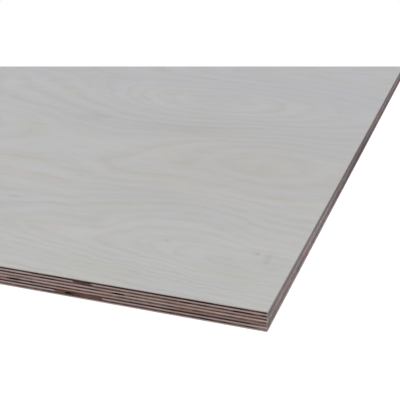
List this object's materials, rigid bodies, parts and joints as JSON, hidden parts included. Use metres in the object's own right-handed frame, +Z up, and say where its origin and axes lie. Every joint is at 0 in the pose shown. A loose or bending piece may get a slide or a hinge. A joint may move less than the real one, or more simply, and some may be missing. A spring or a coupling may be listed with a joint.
{
  "type": "plywood sheet",
  "caption": "Full sheet of birch plywood, lying flat, with a pale sanded face and its cross-laminated veneers showing along the sawn edges.",
  "frame": {"origin": "middle of the underside, on the surface that the sheet lies on", "axes": "+X along the length of the sheet and the grain of its face, +Y across it, +Z up through the thickness, out of the sanded face"},
  "size_m": [2.44, 1.22, 0.018],
  "materials": {
    "sanded_face": "matte",
    "long_grain_core": "matte",
    "cross_grain_core": "matte"
  },
  "bodies": {
    "root": {"face_veneer": "sanded_face", "cross_ply_02": "cross_grain_core", "long_ply_03": "long_grain_core", "cross_ply_04": "cross_grain_core", "long_ply_05": "long_grain_core", "cross_ply_06": "cross_grain_core", "long_ply_07": "long_grain_core", "cross_ply_08": "cross_grain_core", "long_ply_09": "long_grain_core", "cross_ply_10": "cross_grain_core", "long_ply_11": "long_grain_core", "cross_ply_12": "cross_grain_core", "back_veneer": "sanded_face"}
  },
  "joints": []
}
